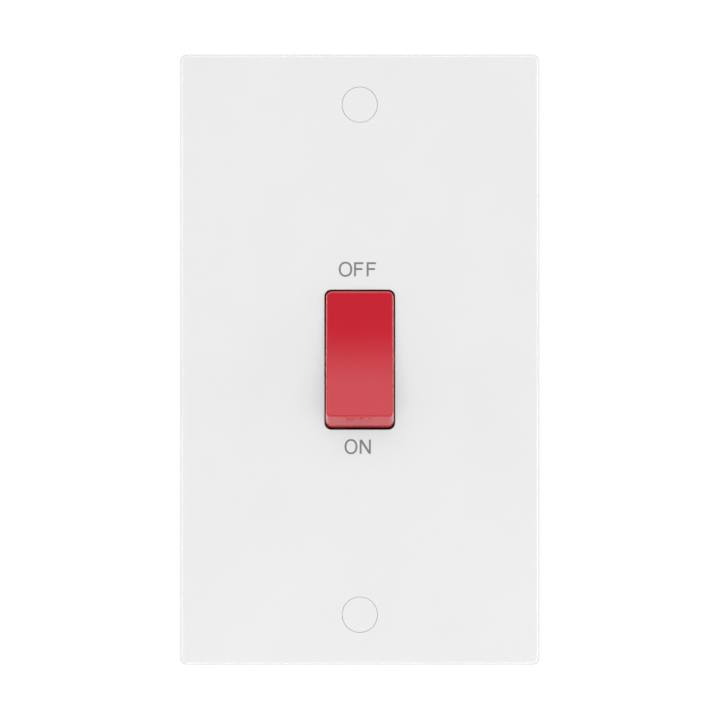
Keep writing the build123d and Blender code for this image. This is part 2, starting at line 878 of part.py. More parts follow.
# Fixing screws and their caps
def fixing_screw(z):
    """A raised countersunk screw with a thinner neck under its head."""
    seat_y = front_y + cap_recess_depth
    land_y = seat_y - fixing_head_land
    sink_y = seat_y + fixing_head_radius - fixing_neck_radius
    thread_y = -fixing_boss_clearance + screw_tip_gap
    tip_y = seat_y + fixing_length
    dome = TangentArc((0, land_y - fixing_head_dome), (fixing_head_radius, land_y), tangent=(1, 0))
    rest = Polyline(
        (fixing_head_radius, land_y),
        (fixing_head_radius, seat_y),
        (fixing_neck_radius, sink_y),
        (fixing_neck_radius, thread_y),
        (fixing_radius, thread_y),
        (fixing_radius, tip_y - fixing_point),
        (fixing_radius - fixing_point, tip_y),
        (0, tip_y),
        (0, land_y - fixing_head_dome),
    )
    outline = Plane.XY.offset(z) * make_face(Curve() + [dome, rest])
    screw = revolve(outline, Axis((0, 0, z), (0, 1, 0)), 360)
    deep = (land_y - fixing_head_dome, land_y + fixing_head_dome)
    reach, half = cross_slot_reach, screw_slot / 2
    screw -= block((-reach, reach), deep, (z - half, z + half))
    screw -= block((-half, half), deep, (z - reach, z + reach))
    return screw


def screw_cap(z):
    """A flush disc on a slotted skirt that springs into the recess over a fixing screw."""
    disc = rod_y(cap_radius, (front_y, front_y + cap_disc), z=z)
    disc = fillet(disc.edges().sort_by(Axis.Y)[0], cap_edge_radius)
    skirt_y = (front_y + cap_disc, front_y + cap_disc + cap_skirt_depth)
    outer = cap_radius - cap_gap / 2
    skirt = rod_y(outer, skirt_y, z=z) - rod_y(outer - cap_skirt_wall, skirt_y, z=z)
    for turn in (0, 60, 120):
        cut = Box(2 * cap_radius, cap_skirt_depth, cap_slot)
        skirt -= Pos(0, sum(skirt_y) / 2, z) * Rot(0, turn, 0) * cut
    return disc + skirt


# Earth terminal
def earth_terminal():
    half_length, half_width = earth_length / 2, earth_width / 2
    rear = earth_front + earth_height
    body = block(
        (-half_length, half_length),
        (earth_front, rear),
        (earth_z - half_width, earth_z + half_width),
    )
    body = chamfer(body.edges().filter_by(Axis.X), terminal_edge)
    body -= rod_x(earth_bore_radius, (-half_length, half_length), earth_bore_y, earth_z)
    for side in (-1, 1):
        tapped = earth_screw_radius + thread_clearance
        body -= rod_y(tapped, (earth_bore_y, rear), side * earth_screw_offset, earth_z)
    return body


def earth_screw(side):
    return slotted_screw(
        earth_screw_radius,
        earth_head_radius,
        earth_head_height,
        earth_bore_y + earth_bore_radius + screw_tip_gap,
        earth_front + earth_height + earth_screw_travel + screw_tip_gap,
        side * earth_screw_offset,
        earth_z,
    )


def every_part():
    """Each node's name and its solid or solids, at rest."""
    parts = {
        "front_plate": front_plate(),
        "rocker": rocker_at_rest * rocker(),
        "screw_cap_top": screw_cap(fixing_centres / 2),
        "screw_cap_bottom": screw_cap(-fixing_centres / 2),
        "fixing_screws": fixing_screw(fixing_centres / 2) + fixing_screw(-fixing_centres / 2),
        "mechanism_cover": mechanism_cover(),
        "switch_base": switch_base(),
        "base_screws": base_screws(),
        "earth_terminal": earth_terminal(),
        "earth_screw_right": earth_screw(1),
        "earth_screw_left": earth_screw(-1),
    }
    plunger_right, spring_right = plunger(), plunger_spring()
    for name, side in (("right", 1), ("left", -1)):
        at_pole = rocker_at_rest * Pos(side * pole_offset, 0, 0)
        parts[f"plunger_{name}"] = at_pole * plunger_right
        parts[f"plunger_spring_{name}"] = at_pole * spring_right
    right_hand = {
        "contact_blade": blade_at_rest * contact_blade(),
        "moving_button": blade_at_rest * domed_button(),
        "fixed_button": fixed_button(),
        "supply_strip": supply_strip(),
        "load_strip": load_strip(),
        "supply_terminal": terminal(),
        "load_terminal": below(terminal()),
    }
    for number, z in enumerate(terminal_screw_heights(), 1):
        right_hand[f"supply_screw_{number}"] = terminal_screw(z)
        right_hand[f"load_screw_{number}"] = below(terminal_screw(z))
    for name, shape in right_hand.items():
        parts[f"{name}_right"] = shape
        parts[f"{name}_left"] = left_of(shape)
    rivets = Part()
    for upper in (strip_rivet(), left_of(strip_rivet())):
        rivets += [upper, below(upper)]
    parts["strip_rivets"] = rivets
    return parts


os.makedirs("parts", exist_ok=True)
for node, shape in every_part().items():
    export_step(shape, f"parts/{node}.step")
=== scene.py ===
import json
from math import cos, pi, radians, sin

import bmesh
import bpy
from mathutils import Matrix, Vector


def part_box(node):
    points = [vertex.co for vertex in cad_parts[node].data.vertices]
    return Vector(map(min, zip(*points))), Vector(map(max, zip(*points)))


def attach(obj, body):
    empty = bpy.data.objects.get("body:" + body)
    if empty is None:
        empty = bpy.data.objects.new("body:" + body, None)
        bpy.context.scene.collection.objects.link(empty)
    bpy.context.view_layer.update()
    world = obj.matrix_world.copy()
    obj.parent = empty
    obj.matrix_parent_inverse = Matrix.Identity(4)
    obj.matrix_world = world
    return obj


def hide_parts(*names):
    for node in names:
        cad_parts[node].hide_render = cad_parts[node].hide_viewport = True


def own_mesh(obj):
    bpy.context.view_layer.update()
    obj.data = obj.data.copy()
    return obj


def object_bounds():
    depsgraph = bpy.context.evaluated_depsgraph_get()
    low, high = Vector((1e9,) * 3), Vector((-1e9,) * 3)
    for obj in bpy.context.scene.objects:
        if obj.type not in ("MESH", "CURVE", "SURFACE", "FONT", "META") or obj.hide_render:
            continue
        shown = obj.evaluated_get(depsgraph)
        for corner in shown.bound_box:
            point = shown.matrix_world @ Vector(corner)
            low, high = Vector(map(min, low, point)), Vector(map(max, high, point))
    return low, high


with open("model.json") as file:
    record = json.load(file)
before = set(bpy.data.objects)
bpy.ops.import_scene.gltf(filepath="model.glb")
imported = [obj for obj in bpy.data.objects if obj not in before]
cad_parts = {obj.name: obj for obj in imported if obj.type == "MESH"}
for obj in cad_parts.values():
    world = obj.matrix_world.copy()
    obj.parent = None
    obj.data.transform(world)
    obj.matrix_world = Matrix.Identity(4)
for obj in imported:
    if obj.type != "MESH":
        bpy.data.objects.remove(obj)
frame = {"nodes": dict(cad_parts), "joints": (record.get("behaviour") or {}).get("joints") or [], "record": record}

# Sizes are in metres, in the part's frame: +X right, +Y into the wall, +Z up, origin in the wall plane
MM = 0.001
cad_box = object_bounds()
scene = bpy.context.scene
record = frame["record"]
body_of = {node: body for body, nodes in record["behaviour"]["bodies"].items() for node in nodes}
slot_of = {entry["node"]: entry["material_slot"] for entry in record["subparts"]}
joint_of = {joint["name"]: joint for joint in frame["joints"]}

front_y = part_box("front_plate")[0][1]

# Camera, level and square to the plate
CAMERA_DISTANCE = 850 * MM
CAMERA_LENS = 179.75
CAMERA_OFFSET_X = 0.05 * MM
CAMERA_OFFSET_Z = -0.083 * MM
SENSOR_WIDTH = 36

# Lettering on the plate's front, above and below the rocker
INK_STROKE = 0.46 * MM
INK_HEIGHT = 3.33 * MM
INK_OVERSHOOT = 0.12 * MM
INK_DEPTHS = (front_y - 0.02 * MM, front_y + 0.03 * MM)
OFF_CENTRE_Z = 21.365 * MM
OFF_O_CENTRE_X = -3.38 * MM
OFF_O_WIDTH = 3.17 * MM
OFF_F_LEFTS = (-1.35 * MM, 1.63 * MM)
OFF_F_WIDTH = 2.2 * MM
ON_CENTRE_Z = -20.565 * MM
ON_O_CENTRE_X = -2.08 * MM
ON_O_WIDTH = 3.05 * MM
ON_N_LEFT = -0.03 * MM
ON_N_WIDTH = 2.65 * MM

# Letter forms, as shares of a letter's width or stroke
O_SQUARENESS = 0.92
O_THIN_STROKE = 0.92
F_MIDDLE_ARM = 0.9
F_MIDDLE_RISE = 0.63
N_SLANT = 1.18
N_RISE = 1.75

# Light from all round, as strengths that blend between two angles in degrees
# From the camera's side it is low near the level and bright higher up
SKY_LOW = 0.3
SKY_HIGH = 1.38
SKY_RISE_FROM = 14
SKY_RISE_TO = 28

# Far to the left and right it is even, once the direction's sideways share has passed these two values
SKY_ASIDE = 0.84
SKY_WIDE_FROM = 0.35
SKY_WIDE_TO = 0.6

# The angles from the camera's side at which that light gives way to the light from the flanks
FRONT_FROM = 82
FRONT_TO = 65

# Light from the flanks, and stronger light from behind the plate
AROUND = 0.55
BEHIND = 0.78
BEHIND_FROM = 40
BEHIND_TO = 25

# The backdrop that the camera sees: white straight behind the plate, pale grey to the sides
BACKDROP = 1.1
BACKDROP_ASIDE = 0.66
BACKDROP_FROM = 30
BACKDROP_TO = 12

# A tall box on each side, just in front of the plate
SIDE_X = 0.7
SIDE_Y = -0.06
SIDE_Z = 0.05
SIDE_WIDTH = 0.17
SIDE_HEIGHT = 0.5
SIDE_POWER = 1.5
SIDE_RIGHT_SHARE = 1.15

# A wide box low in front, and a small box above and below the plate for its rims
LOW_PLACE = (0.1, -1.0, -0.42)
LOW_WIDTH = 2.2
LOW_HEIGHT = 0.45
LOW_POWER = 6.4
RIM_POWER = 0.19
RIM_REACH = 0.26
RIM_BEHIND = 0.012
RIM_LENGTH = 0.19
RIM_WIDTH = 0.062

# How light a grey the red rocker throws on what is near it
ROCKER_BOUNCE = 0.5

# Floor, a pale square below the plate
FLOOR_REACH = 0.6
FLOOR_Z = -0.35
FLOOR_GREYS = (0.80, 0.83)
FLOOR_ROUGHNESS = 0.7

# Finishes: clouds as features a metre, the depth of the marks in metal, and the roughness of a coat
CLOUDS = 60
GLOSS_CLOUDS = 350
TARNISH_CLOUDS = 180
FLOOR_CLOUDS = 3
METAL_MARKS = 0.004 * MM
COAT_ROUGHNESS = 0.08

# Threads: a pitch holds four rings, given as their places along it and their share of the thread's depth
THREAD_SIDES = 24
THREAD_DEPTH = 0.55
THREAD_FORM = ((0.14, 1), (0.44, 0), (0.56, 0), (0.86, 1))
THREAD_FADE = 0.15 * MM
FIXING_PITCH = 0.6 * MM
CLAMP_PITCH = 0.8 * MM
EARTH_PITCH = 0.7 * MM

# How near two points are to be one, and how near a point is to be on a shank
MERGE = 0.0001 * MM
SHANK_NEAR = 0.01 * MM

# The share of a head's radius past which a point is on its rim
HEAD_RIM = 0.95

# Plunger springs
COIL_TURNS = 8
COIL_RADIUS = 1.15 * MM
COIL_WIRE = 0.45 * MM
COIL_STEPS = 24
COIL_SIDES = 10

# Moulded marks on the parts that face the wall
MARK_HEIGHT = 3.6 * MM
MARK_STROKE = 0.65 * MM
MARK_RAISED = 0.35 * MM
MARK_WIDTH = 2.2 * MM
MARK_X = 6.0 * MM
MARK_ROWS_Z = (18.5 * MM, -17.5 * MM)
ARROW_DROP = 5.2 * MM
ARROW_HEIGHT = 1.8 * MM
PLATE_WALL = 2.4 * MM
BASE_REAR = 15.0 * MM

# Earth sign beside its terminal: a stem, and bars below it as half widths and feet
EARTH_SIGN_X = 13.5 * MM
EARTH_STEM_HALF = 0.28 * MM
EARTH_STEM = (0.6 * MM, 3.0 * MM)
EARTH_BAR = 0.55 * MM
EARTH_BARS = ((1.9 * MM, 0.0), (1.25 * MM, -1.1 * MM), (0.6 * MM, -2.2 * MM))

# Witness marks of the ejector pins
EJECTOR_RADIUS = 2.5 * MM
EJECTOR_RAISED = 0.05 * MM
EJECTOR_SIDES = 48
EJECTORS_X = (-25 * MM, 25 * MM)
EJECTORS_Z = (-64 * MM, -40 * MM, 40 * MM, 64 * MM)


def link(obj):
    """Puts a new object in the scene."""
    scene.collection.objects.link(obj)
    return obj


def shade(obj, angle):
    """Smooth shading that keeps edges sharper than the angle."""
    for face in obj.data.polygons:
        face.use_smooth = True
    mesh = bmesh.new()
    mesh.from_mesh(obj.data)
    for edge in mesh.edges:
        edge.smooth = len(edge.link_faces) == 2 and edge.calc_face_angle() < radians(angle)
    mesh.to_mesh(obj.data)
    mesh.free()


def piece(name, mesh, material, body, smooth_angle=35):
    """A new piece made of a bmesh, in its material, riding on a body."""
    data = bpy.data.meshes.new(name)
    bmesh.ops.recalc_face_normals(mesh, faces=mesh.faces)
    mesh.to_mesh(data)
    mesh.free()
    obj = link(bpy.data.objects.new(name, data))
    data.materials.append(material)
    shade(obj, smooth_angle)
    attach(obj, body)
    return obj


# Materials
def graph(name):
    """A new material's node tree, with its shader and the object coordinates."""
    material = bpy.data.materials.new(name)
    material.use_nodes = True
    tree = material.node_tree
    shader = tree.nodes["Principled BSDF"]
    coordinates = tree.nodes.new("ShaderNodeTexCoord")
    return material, tree, shader, coordinates.outputs["Object"]


def noise(tree, where, scale, detail=4.0, squeeze=(1, 1, 1)):
    """Noise at so many features a metre, times each axis's own squeeze."""
    mapping = tree.nodes.new("ShaderNodeMapping")
    mapping.inputs["Scale"].default_value = squeeze
    tree.links.new(where, mapping.inputs["Vector"])
    texture = tree.nodes.new("ShaderNodeTexNoise")
    texture.inputs["Scale"].default_value = scale
    texture.inputs["Detail"].default_value = detail
    tree.links.new(mapping.outputs["Vector"], texture.inputs["Vector"])
    return texture.outputs["Fac"]


def ramp(tree, fac, low, high, low_at=0.3, high_at=0.7):
    """A blend between two values or colours across a band of the factor."""
    node = tree.nodes.new("ShaderNodeValToRGB")
    for stop, value, at in zip(node.color_ramp.elements, (low, high), (low_at, high_at)):
        stop.position = at
        stop.color = (*value, 1) if isinstance(value, tuple) else (value, value, value, 1)
    tree.links.new(fac, node.inputs["Fac"])
    return node.outputs["Color"]


def bump(tree, shader, height, depth):
    """Bumps of a depth on the shader's surface."""
    node = tree.nodes.new("ShaderNodeBump")
    node.inputs["Strength"].default_value = 1
    node.inputs["Distance"].default_value = depth
    tree.links.new(height, node.inputs["Height"])
    tree.links.new(node.outputs["Normal"], shader.inputs["Normal"])


def plastic(name, colour, other, rough, grain, grain_depth, coat=0.0, ior=1.5):
    """Moulded plastic: two near colours in faint clouds, uneven gloss and a fine moulded skin."""
    material, tree, shader, where = graph(name)
    clouds = noise(tree, where, CLOUDS)
    tree.links.new(ramp(tree, clouds, colour, other), shader.inputs["Base Color"])
    gloss = noise(tree, where, GLOSS_CLOUDS)
    tree.links.new(ramp(tree, gloss, rough[0], rough[1]), shader.inputs["Roughness"])
    skin = noise(tree, where, grain, detail=3.0)
    bump(tree, shader, skin, grain_depth)
    shader.inputs["IOR"].default_value = ior
    shader.inputs["Coat Weight"].default_value = coat
    shader.inputs["Coat Roughness"].default_value = COAT_ROUGHNESS
    return material


def metal(name, colour, tarnish, rough, squeeze, lines):
    """Tarnished metal, with lines drawn along an axis whose squeeze is below one or cut across one above."""
    material, tree, shader, where = graph(name)
    shader.inputs["Metallic"].default_value = 1.0
    clouds = noise(tree, where, TARNISH_CLOUDS, detail=5.0)
    tarnished = ramp(tree, clouds, colour, tarnish, low_at=0.35, high_at=0.75)
    tree.links.new(tarnished, shader.inputs["Base Color"])
    marks = noise(tree, where, lines, detail=3.0, squeeze=squeeze)
    tree.links.new(ramp(tree, marks, rough[0], rough[1]), shader.inputs["Roughness"])
    bump(tree, shader, marks, METAL_MARKS)
    return material


def grey_bounce(material, grey):
    """Light that bounces off the material onto other surfaces takes no colour from it, in any view."""
    tree = material.node_tree
    colour = tree.nodes["Principled BSDF"].inputs["Base Color"]
    path = tree.nodes.new("ShaderNodeLightPath")
    blend = tree.nodes.new("ShaderNodeMix")
    blend.data_type = "RGBA"
    tree.links.new(path.outputs["Is Diffuse Ray"], blend.inputs["Factor"])
    tree.links.new(colour.links[0].from_socket, blend.inputs["A"])
    blend.inputs["B"].default_value = (grey, grey, grey, 1)
    tree.links.new(blend.outputs["Result"], colour)


urea = plastic(
    "white_urea", colour=(0.795, 0.795, 0.795), other=(0.81, 0.81, 0.81), rough=(0.2, 0.26),
    grain=700, grain_depth=0.001 * MM, coat=0.35,
)
cap_urea = plastic(
    "cap_urea", colour=(0.795, 0.795, 0.795), other=(0.81, 0.81, 0.81), rough=(0.2, 0.26),
    grain=900, grain_depth=0.002 * MM, coat=0.35,
)
rocker_red = plastic(
    "rocker_red", colour=(0.53, 0.002, 0.016), other=(0.55, 0.003, 0.019), rough=(0.07, 0.11),
    grain=500, grain_depth=0.001 * MM, coat=0.2, ior=1.6,
)
grey_bounce(rocker_red, ROCKER_BOUNCE)
base_moulding = plastic(
    "base_moulding", colour=(0.70, 0.685, 0.64), other=(0.74, 0.725, 0.68), rough=(0.35, 0.48),
    grain=1400, grain_depth=0.01 * MM,
)
cover_moulding = plastic(
    "cover_moulding", colour=(0.035, 0.035, 0.038), other=(0.05, 0.05, 0.054), rough=(0.35, 0.5),
    grain=1600, grain_depth=0.01 * MM,
)
nylon = plastic(
    "natural_nylon", colour=(0.78, 0.76, 0.70), other=(0.82, 0.80, 0.75), rough=(0.3, 0.42),
    grain=1200, grain_depth=0.005 * MM,
)
ink = plastic(
    "grey_ink", colour=(0.195, 0.195, 0.195), other=(0.215, 0.215, 0.215), rough=(0.4, 0.5),
    grain=2500, grain_depth=0.002 * MM,
)
zinc = metal(
    "zinc_steel", colour=(0.56, 0.57, 0.58), tarnish=(0.43, 0.44, 0.47), rough=(0.29, 0.42),
    squeeze=(1, 1, 1), lines=1800,
)
spring_steel = metal(
    "spring_steel", colour=(0.62, 0.63, 0.65), tarnish=(0.5, 0.51, 0.53), rough=(0.18, 0.27),
    squeeze=(1, 0.2, 1), lines=2500,
)
brass = metal(
    "machined_brass", colour=(0.80, 0.62, 0.30), tarnish=(0.68, 0.50, 0.22), rough=(0.17, 0.27),
    squeeze=(1, 6, 1), lines=900,
)
screw_brass = metal(
    "screw_brass", colour=(0.82, 0.66, 0.36), tarnish=(0.7, 0.54, 0.27), rough=(0.16, 0.26),
    squeeze=(1, 5, 1), lines=1200,
)
copper = metal(
    "stamped_copper", colour=(0.83, 0.47, 0.31), tarnish=(0.62, 0.32, 0.2), rough=(0.29, 0.42),
    squeeze=(1, 1, 0.2), lines=1200,
)
silver = metal(
    "contact_silver", colour=(0.84, 0.83, 0.80), tarnish=(0.70, 0.68, 0.63), rough=(0.29, 0.42),
    squeeze=(1, 1, 1), lines=1500,
)

# The material of each slot, which its CAD nodes get
SLOT_MATERIALS = {
    "plate_urea": urea,
    "cap_urea": cap_urea,
    "rocker_red": rocker_red,
    "base_moulding": base_moulding,
    "cover_moulding": cover_moulding,
    "plunger_nylon": nylon,
    "zinc_steel": zinc,
    "spring_steel": spring_steel,
    "clamp_screw": screw_brass,
    "terminal_brass": brass,
    "strip_copper": copper,
    "contact_silver": silver,
}
for name, slot in slot_of.items():
    node = frame["nodes"][name]
    node.data.materials.clear()
    node.data.materials.append(SLOT_MATERIALS[slot])
    for face in node.data.polygons:
        face.material_index = 0


# Flat and raised shapes, from outlines of (x, z) points
def prism(mesh, outline, depths, hole=None):
    """A flat shape between two depths, with a hole of as many points where one is given."""
    loops = [outline] if hole is None else [outline, hole]
    rings = [[[mesh.verts.new((x, y, z)) for x, z in loop] for y in depths] for loop in loops]
    walls = [tuple(pair) for pair in rings]
    if hole is None:
        mesh.faces.new(rings[0][0])
        mesh.faces.new(rings[0][1])
    else:
        walls += [(rings[0][side], rings[1][side]) for side in (0, 1)]
    for one, two in walls:
        for i in range(len(one)):
            j = (i + 1) % len(one)
            mesh.faces.new((one[i], one[j], two[j], two[i]))


def oval(middle, half_x, half_z, power=1.0, steps=64):
    """Points round an oval, squarer where the power is below one."""
    points = []
    for i in range(steps):
        across = cos(2 * pi * i / steps)
        up = sin(2 * pi * i / steps)
        x = half_x * abs(across) ** power * (1 if across >= 0 else -1)
        z = half_z * abs(up) ** power * (1 if up >= 0 else -1)
        points.append((middle[0] + x, middle[1] + z))
    return points


def strokes_f(left, middle_z, width, height, stroke):
    """A stem, a top arm and a shorter middle arm in one outline."""
    top, foot = middle_z + height / 2, middle_z - height / 2
    inner = left + stroke
    arm = left + width
    short = left + F_MIDDLE_ARM * width
    middle_top = middle_z + F_MIDDLE_RISE * stroke
    return [
        (left, foot),
        (inner, foot),
        (inner, middle_top - stroke),
        (short, middle_top - stroke),
        (short, middle_top),
        (inner, middle_top),
        (inner, top - stroke),
        (arm, top - stroke),
        (arm, top),
        (left, top),
    ]


def strokes_n(left, middle_z, width, height, stroke):
    """Two stems and a diagonal in one outline."""
    top, foot = middle_z + height / 2, middle_z - height / 2
    right = left + width
    slant = stroke * N_SLANT
    rise = stroke * N_RISE
    return [
        (left, foot),
        (left + stroke, foot),
        (left + stroke, top - rise),
        (right - slant, foot),
        (right, foot),
        (right, top),
        (right - stroke, top),
        (right - stroke, foot + rise),
        (left + slant, top),
        (left, top),
    ]


def strokes_l(left, middle_z, width, height, stroke):
    """A stem and a foot in one outline."""
    top, foot = middle_z + height / 2, middle_z - height / 2
    return [
        (left, foot),
        (left + width, foot),
        (left + width, foot + stroke),
        (left + stroke, foot + stroke),
        (left + stroke, top),
        (left, top),
    ]


def turned(outline):
    """An outline mirrored left to right, for a face that is read from behind."""
    return [(-x, z) for x, z in outline]


# Lettering printed on the front
def ink_o(mesh, middle, width):
    """The ring of an O, thinner at its top and foot than at its sides."""
    half_z = INK_HEIGHT / 2 + INK_OVERSHOOT
    outer = oval(middle, width / 2, half_z, O_SQUARENESS)
    inner = oval(middle, width / 2 - INK_STROKE, half_z - O_THIN_STROKE * INK_STROKE, O_SQUARENESS)
    prism(mesh, outer, INK_DEPTHS, inner)


off_word = bmesh.new()
ink_o(off_word, (OFF_O_CENTRE_X, OFF_CENTRE_Z), OFF_O_WIDTH)
for left in OFF_F_LEFTS:
    prism(off_word, strokes_f(left, OFF_CENTRE_Z, OFF_F_WIDTH, INK_HEIGHT, INK_STROKE), INK_DEPTHS)
piece("word_off", off_word, ink, "casing")

on_word = bmesh.new()
ink_o(on_word, (ON_O_CENTRE_X, ON_CENTRE_Z), ON_O_WIDTH)
prism(on_word, strokes_n(ON_N_LEFT, ON_CENTRE_Z, ON_N_WIDTH, INK_HEIGHT, INK_STROKE), INK_DEPTHS)
piece("word_on", on_word, ink, "casing")

# Marks moulded on the back: L and N beside the terminals with an arrow each, and the earth sign on the plate
raised_base = (BASE_REAR - MARK_RAISED / 2, BASE_REAR + MARK_RAISED)
base_marks = bmesh.new()
for middle_z in MARK_ROWS_Z:
    for middle_x, strokes in ((-MARK_X, strokes_l), (MARK_X, strokes_n)):
        left, right = middle_x - MARK_WIDTH / 2, middle_x + MARK_WIDTH / 2
        letter = strokes(left, middle_z, MARK_WIDTH, MARK_HEIGHT, MARK_STROKE)
        prism(base_marks, turned(letter), raised_base)
        tip_z = middle_z - ARROW_DROP
        arrow = [(left, tip_z + ARROW_HEIGHT), (middle_x, tip_z), (right, tip_z + ARROW_HEIGHT)]
        prism(base_marks, turned(arrow), raised_base)
piece("base_marks", base_marks, base_moulding, "casing")

plate_back = front_y + PLATE_WALL
raised_plate = (plate_back - MARK_RAISED / 2, plate_back + MARK_RAISED)
earth_low, earth_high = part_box("earth_terminal")
earth_z = (earth_low[2] + earth_high[2]) / 2
earth_sign = bmesh.new()
earth_bars = [(EARTH_STEM_HALF, *EARTH_STEM)] + [(half, foot, foot + EARTH_BAR) for half, foot in EARTH_BARS]
for half_width, foot, top in earth_bars:
    bar = [(-half_width, foot), (half_width, foot), (half_width, top), (-half_width, top)]
    prism(earth_sign, [(x + EARTH_SIGN_X, z + earth_z) for x, z in bar], raised_plate)
piece("earth_sign", earth_sign, urea, "casing")

# Faint round pads inside the plate, where the ejector pins pushed it out of its mould
pads = bmesh.new()
pad_depths = (plate_back - MARK_RAISED, plate_back + EJECTOR_RAISED)
for x in EJECTORS_X:
    for z in EJECTORS_Z:
        prism(pads, oval((x, z), EJECTOR_RADIUS, EJECTOR_RADIUS, steps=EJECTOR_SIDES), pad_depths)
piece("ejector_marks", pads, urea, "casing")


# Threaded screws, which stand for the plain shanks
def thread(mesh, x, z, start, end, crest, pitch):
    """A right-hand threaded rod along Y, whose thread fades out at both ends."""
    depth = THREAD_DEPTH * pitch
    rings = []
    # A turn before the start and two beyond the end, which are pressed flat onto the ends
    for turn in range(-1, int((end - start) / pitch) + 3):
        for place, share in THREAD_FORM:
            ring = []
            for i in range(THREAD_SIDES):
                y = start + (turn + place + i / THREAD_SIDES) * pitch
                y = min(max(y, start), end)
                edge = min(y - start, end - y)
                radius = min(crest - share * depth, crest - depth - THREAD_FADE + edge)
                angle = -2 * pi * i / THREAD_SIDES
                ring.append(mesh.verts.new((x + radius * cos(angle), y, z + radius * sin(angle))))
            rings.append(ring)
    step = len(THREAD_FORM)
    for j in range(len(rings) - 1):
        one, two = rings[j], rings[j + 1]
        for i in range(THREAD_SIDES - 1):
            mesh.faces.new((one[i], one[i + 1], two[i + 1], two[i]))
        if j + step + 1 < len(rings):
            mesh.faces.new((one[-1], rings[j + step][0], rings[j + step + 1][0], two[-1]))
    bmesh.ops.remove_doubles(mesh, verts=mesh.verts, dist=MERGE)
    bmesh.ops.holes_fill(mesh, edges=[edge for edge in mesh.edges if edge.is_boundary])


def head_of(node, cut_y, keep_rear):
    """A copy of a CAD screw on one side of a plane across it, closed where it is cut."""
    mesh = bmesh.new()
    mesh.from_mesh(frame["nodes"][node].data)
    bmesh.ops.remove_doubles(mesh, verts=mesh.verts, dist=MERGE)
    bmesh.ops.bisect_plane(
        mesh,
        geom=[*mesh.verts, *mesh.edges, *mesh.faces],
        plane_co=(0, cut_y, 0),
        plane_no=(0, 1, 0),
        clear_inner=keep_rear,
        clear_outer=not keep_rear,
    )
    bmesh.ops.holes_fill(mesh, edges=[edge for edge in mesh.edges if edge.is_boundary])
    return mesh


def threaded(node, axes, start, end, crest, pitch, keep_rear):
    """The piece that stands for a CAD screw: its own head on a threaded shank round each axis."""
    mesh = head_of(node, end if keep_rear else start, keep_rear)
    for x, z in axes:
        thread(mesh, x, z, start, end, crest, pitch)
    screw = piece(f"threaded_{node}", mesh, SLOT_MATERIALS[slot_of[node]], body_of[node])
    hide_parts(node)


def shank_of(node, x, z):
    """Where a CAD screw's shank meets its head, and the shank's radius."""
    points = [(Vector((v.co.x - x, v.co.z - z)).length, v.co.y) for v in frame["nodes"][node].data.vertices]
    head_radius = max(points)[0]
    under_head = min(y for radius, y in points if radius > HEAD_RIM * head_radius)
    return under_head, max(radius for radius, y in points if y < under_head - MERGE)


for node in [name for name, slot in slot_of.items() if slot == "clamp_screw"]:
    low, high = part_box(node)
    x, z = (low[0] + high[0]) / 2, (low[2] + high[2]) / 2
    under_head, crest = shank_of(node, x, z)
    pitch = EARTH_PITCH if node.startswith("earth") else CLAMP_PITCH
    threaded(node, [(x, z)], low[1], under_head, crest, pitch, True)

fixing = next(mount for mount in record["mounts"] if mount["name"] == "fixing_screws")
fixing_z = fixing["dims"]["spacing_y_mm"] / 2 * MM
fixing_crest = fixing["dims"]["stud_r_mm"] * MM
fixing_vertices = frame["nodes"]["fixing_screws"].data.vertices
fixing_points = [(Vector((v.co.x, abs(v.co.z) - fixing_z)).length, v.co.y) for v in fixing_vertices]
thread_start = min(y for radius, y in fixing_points if abs(radius - fixing_crest) < SHANK_NEAR)
fixing_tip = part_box("fixing_screws")[1][1]
fixing_axes = [(0, fixing_z), (0, -fixing_z)]
threaded("fixing_screws", fixing_axes, thread_start, fixing_tip, fixing_crest, FIXING_PITCH, False)


# Plunger springs
def coil(mesh, start, along, across, length):
    """A compression spring with its end turns closed."""
    side = along.cross(across)
    height = length - COIL_WIRE
    open_rise = (height - 2 * COIL_WIRE) / (COIL_TURNS - 2)
    rings = []
    for k in range(COIL_TURNS * COIL_STEPS + 1):
        turn = k / COIL_STEPS
        closed = min(turn, 1) + max(turn - COIL_TURNS + 1, 0)
        rise = COIL_WIRE / 2 + closed * COIL_WIRE + (turn - closed) * open_rise
        outward = across * cos(2 * pi * turn) + side * sin(2 * pi * turn)
        centre = start + along * rise + outward * COIL_RADIUS
        ring = []
        for i in range(COIL_SIDES):
            angle = 2 * pi * i / COIL_SIDES
            offset = outward * cos(angle) + along * sin(angle)
            ring.append(mesh.verts.new(centre + offset * COIL_WIRE / 2))
        rings.append(ring)
    for one, two in zip(rings, rings[1:]):
        for i in range(COIL_SIDES):
            j = (i + 1) % COIL_SIDES
            mesh.faces.new((one[i], one[j], two[j], two[i]))
    mesh.faces.new(rings[0])
    mesh.faces.new(rings[-1])


pivot = Vector(joint_of["rocker_tilt"]["pos_m"])
for side in ("right", "left"):
    node = f"plunger_spring_{side}"
    joint = f"plunger_{side}_press"
    along = -Vector(joint_of[joint]["axis"])
    reach = [(v.co - pivot).dot(along) for v in frame["nodes"][node].data.vertices]
    low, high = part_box(node)
    centre = Vector(((low[0] + high[0]) / 2, pivot.y, pivot.z))
    start, end = centre + along * min(reach), centre + along * max(reach)
    mesh = bmesh.new()
    coil(mesh, start, along, Vector((1, 0, 0)), (end - start).length)
    spring = piece(f"coil_{side}", mesh, spring_steel, body_of[node], smooth_angle=60)
    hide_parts(node)
    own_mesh(spring)

# Camera
camera_data = bpy.data.cameras.new("camera")
camera_data.lens = CAMERA_LENS
camera_data.sensor_width = SENSOR_WIDTH
camera = link(bpy.data.objects.new("camera", camera_data))
camera.location = (CAMERA_OFFSET_X, front_y - CAMERA_DISTANCE, CAMERA_OFFSET_Z)
camera.rotation_euler = (radians(90), 0, 0)
scene.camera = camera


